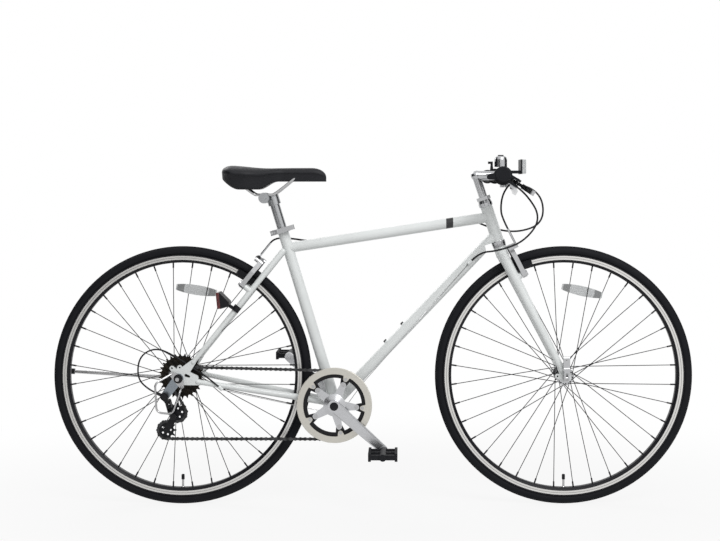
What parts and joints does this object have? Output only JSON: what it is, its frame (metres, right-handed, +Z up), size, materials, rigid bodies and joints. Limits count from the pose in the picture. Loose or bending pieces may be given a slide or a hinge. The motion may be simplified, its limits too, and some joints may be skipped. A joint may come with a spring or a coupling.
{
  "type": "hybrid bicycle",
  "caption": "Flat-bar city bicycle with a diamond frame, derailleur drive, linear-pull brakes and a folding side stand; it steers, rolls, brakes, shifts and pedals.",
  "frame": {"origin": "on the ground midway between the two axles, in the bicycle's mid-plane", "axes": "+X forward, +Y to the rider's left, +Z up; the drive side faces -Y"},
  "size_m": [1.681, 0.5812, 0.917],
  "materials": {
    "white_paint": "gloss",
    "polished_alloy": "polished",
    "brushed_alloy": "satin",
    "black_metal": "satin",
    "dark_steel": "oiled",
    "bright_steel": "satin",
    "black_plastic": "matte",
    "black_rubber": "matte",
    "tyre": "matte",
    "saddle_cover": "matte",
    "clear_lens": "gloss",
    "red_lens": "gloss"
  },
  "bodies": {
    "frame": {"main_frame": "white_paint", "rear_triangle": "white_paint", "frame_fittings": "bright_steel", "seat_clamp": "brushed_alloy", "rear_axle": "bright_steel", "rear_reflector": "red_lens", "derailleur_body": "black_metal", "derailleur_guard": "bright_steel", "chain": "dark_steel", "rear_brake_cable": "black_rubber", "shift_cable": "black_rubber", "rear_cables": "black_rubber", "kickstand_bracket": "bright_steel"},
    "seat": {"seat_post": "brushed_alloy", "saddle": "saddle_cover"},
    "seat_lever": {"seat_clamp_lever": "brushed_alloy"},
    "kickstand": {"kickstand_leg": "bright_steel"},
    "steering": {"fork_crown": "white_paint", "fork_blades": "white_paint", "headset_races": "bright_steel", "stem": "polished_alloy", "handlebar": "polished_alloy", "grips": "black_rubber", "lever_brackets": "black_plastic", "bell": "polished_alloy", "front_reflector": "clear_lens", "front_axle": "bright_steel", "front_brake_cable": "black_rubber"},
    "front_release": {"front_release_lever": "brushed_alloy"},
    "lever_right": {"brake_lever_right": "polished_alloy"},
    "lever_left": {"brake_lever_left": "polished_alloy"},
    "thumb_lever": {"shift_lever": "black_plastic"},
    "striker": {"bell_striker": "black_plastic"},
    "front_arm_right": {"front_brake_arm_right": "polished_alloy"},
    "front_arm_left": {"front_brake_arm_left": "polished_alloy"},
    "rear_arm_right": {"rear_brake_arm_right": "polished_alloy"},
    "rear_arm_left": {"rear_brake_arm_left": "polished_alloy"},
    "front_wheel": {"front_hub": "brushed_alloy", "front_spokes": "black_metal", "front_rim": "brushed_alloy", "front_tyre": "tyre", "front_wheel_reflector": "clear_lens"},
    "rear_wheel": {"rear_hub": "brushed_alloy", "rear_spokes": "black_metal", "rear_rim": "brushed_alloy", "rear_tyre": "tyre", "rear_wheel_reflector": "clear_lens"},
    "freewheel": {"freewheel": "dark_steel"},
    "cranks": {"crank_arms": "polished_alloy", "chainring": "black_metal", "chain_guard": "polished_alloy", "crank_spindle": "black_metal"},
    "pedal_right": {"pedal_right": "black_plastic"},
    "pedal_left": {"pedal_left": "black_plastic"},
    "outer_link": {"derailleur_outer_link": "black_metal"},
    "inner_link": {"derailleur_inner_link": "black_metal"},
    "knuckle": {"derailleur_knuckle": "black_metal"},
    "cage": {"derailleur_cage": "black_metal"},
    "guide_pulley": {"guide_pulley": "black_plastic"},
    "tension_pulley": {"tension_pulley": "black_plastic"}
  },
  "joints": [
    {"name": "steering_turn", "type": "hinge", "parent": "frame", "child": "steering", "pos_m": [0.31352, 0, 0.73692], "axis": [-0.3173, 0, 0.9483], "range_deg": [-60, 60], "deforming": ["rear_brake_cable", "shift_cable"]},
    {"name": "front_wheel_spin", "type": "hinge", "parent": "steering", "child": "front_wheel", "pos_m": [0.5015, 0, 0.339], "axis": [0, 1, 0], "continuous": true},
    {"name": "rear_wheel_spin", "type": "hinge", "parent": "frame", "child": "rear_wheel", "pos_m": [-0.5015, 0, 0.339], "axis": [0, 1, 0], "continuous": true},
    {"name": "crank_spin", "type": "hinge", "parent": "frame", "child": "cranks", "pos_m": [-0.10008, 0, 0.266], "axis": [0, 1, 0], "continuous": true, "deforming": ["chain"]},
    {"name": "freewheel_spin", "type": "hinge", "parent": "frame", "child": "freewheel", "pos_m": [-0.5015, 0, 0.339], "axis": [0, 1, 0], "continuous": true},
    {"name": "pedal_right_spin", "type": "hinge", "parent": "cranks", "child": "pedal_right", "pos_m": [0.02724, 0, 0.15335], "axis": [0, 1, 0], "continuous": true},
    {"name": "pedal_left_spin", "type": "hinge", "parent": "cranks", "child": "pedal_left", "pos_m": [-0.22741, 0, 0.37865], "axis": [0, 1, 0], "continuous": true},
    {"name": "brake_lever_right_pull", "type": "hinge", "parent": "steering", "child": "lever_right", "pos_m": [0.36476, -0.14375, 0.84486], "axis": [-0.5292, 0.0529, -0.8469], "range_deg": [0, 20], "stiffness_Nm_per_rad": 0.6},
    {"name": "brake_lever_left_pull", "type": "hinge", "parent": "steering", "child": "lever_left", "pos_m": [0.36476, 0.14375, 0.84486], "axis": [0.5292, 0.0529, 0.8469], "range_deg": [0, 20], "stiffness_Nm_per_rad": 0.6},
    {"name": "front_arm_right_close", "type": "hinge", "parent": "steering", "child": "front_arm_right", "pos_m": [0.39381, -0.04, 0.60737], "axis": [-0.8908, 0, -0.4543], "range_deg": [0, 3], "deforming": ["front_brake_cable"]},
    {"name": "front_arm_left_close", "type": "hinge", "parent": "steering", "child": "front_arm_left", "pos_m": [0.39381, 0.04, 0.60737], "axis": [0.8908, 0, 0.4543], "range_deg": [0, 3]},
    {"name": "rear_arm_right_close", "type": "hinge", "parent": "frame", "child": "rear_arm_right", "pos_m": [-0.34024, -0.04, 0.57903], "axis": [-0.7765, 0, 0.6301], "range_deg": [0, 3]},
    {"name": "rear_arm_left_close", "type": "hinge", "parent": "frame", "child": "rear_arm_left", "pos_m": [-0.34024, 0.04, 0.57903], "axis": [0.7765, 0, -0.6301], "range_deg": [0, 3], "deforming": ["rear_cables"]},
    {"name": "shift_lever_push", "type": "hinge", "parent": "steering", "child": "thumb_lever", "pos_m": [0.33837, -0.10132, 0.864], "axis": [-0.0995, -0.995, 0], "range_deg": [0, 42]},
    {"name": "outer_link_swing", "type": "hinge", "parent": "frame", "child": "outer_link", "pos_m": [-0.52948, -0.0721, 0.2783], "axis": [0.9236, 0, 0.3834], "range_deg": [0, 58]},
    {"name": "inner_link_swing", "type": "hinge", "parent": "frame", "child": "inner_link", "pos_m": [-0.52948, -0.0581, 0.2783], "axis": [0.9236, 0, 0.3834], "range_deg": [0, 58]},
    {"name": "knuckle_swing", "type": "hinge", "parent": "outer_link", "child": "knuckle", "pos_m": [-0.51918, -0.087, 0.25347], "axis": [-0.9236, 0, -0.3834], "range_deg": [0, 58]},
    {"name": "cage_tension", "type": "hinge", "parent": "knuckle", "child": "cage", "pos_m": [-0.514, -0.0575, 0.241], "axis": [0, 1, 0], "range_deg": [-15, 25], "stiffness_Nm_per_rad": 0.8},
    {"name": "guide_pulley_spin", "type": "hinge", "parent": "cage", "child": "guide_pulley", "pos_m": [-0.506, -0.0575, 0.248], "axis": [0, 1, 0], "continuous": true},
    {"name": "tension_pulley_spin", "type": "hinge", "parent": "cage", "child": "tension_pulley", "pos_m": [-0.53488, -0.0575, 0.20356], "axis": [0, 1, 0], "continuous": true},
    {"name": "kickstand_fold", "type": "hinge", "parent": "frame", "child": "kickstand", "pos_m": [-0.54, 0.08678, 0.31908], "axis": [0, -0.9781, -0.2079], "range_deg": [0, 95]},
    {"name": "seat_height", "type": "slide", "parent": "frame", "child": "seat", "axis": [-0.2924, 0, 0.9563], "range_m": [-0.05, 0.1]},
    {"name": "seat_lever_open", "type": "hinge", "parent": "frame", "child": "seat_lever", "pos_m": [-0.26382, -0.022, 0.71264], "axis": [0.2924, 0, -0.9563], "range_deg": [0, 170]},
    {"name": "front_release_open", "type": "hinge", "parent": "steering", "child": "front_release", "pos_m": [0.5015, -0.069, 0.339], "axis": [1, 0, 0], "range_deg": [0, 170]},
    {"name": "bell_strike", "type": "hinge", "parent": "steering", "child": "striker", "pos_m": [0.30915, -0.04674, 0.884], "axis": [-0.0995, -0.995, 0], "range_deg": [0, 20], "stiffness_Nm_per_rad": 0.05}
  ],
  "couplings": [
    {"joint": "freewheel_spin", "follows": "crank_spin", "ratio": 3.1429},
    {"joint": "tension_pulley_spin", "follows": "crank_spin", "ratio": 4},
    {"joint": "guide_pulley_spin", "follows": "crank_spin", "ratio": -4},
    {"joint": "front_arm_right_close", "follows": "brake_lever_right_pull", "ratio": 0.15},
    {"joint": "front_arm_left_close", "follows": "brake_lever_right_pull", "ratio": 0.15},
    {"joint": "rear_arm_right_close", "follows": "brake_lever_left_pull", "ratio": 0.15},
    {"joint": "rear_arm_left_close", "follows": "brake_lever_left_pull", "ratio": 0.15},
    {"joint": "outer_link_swing", "follows": "shift_lever_push", "ratio": 1.38},
    {"joint": "inner_link_swing", "follows": "shift_lever_push", "ratio": 1.38},
    {"joint": "knuckle_swing", "follows": "shift_lever_push", "ratio": 1.38}
  ]
}
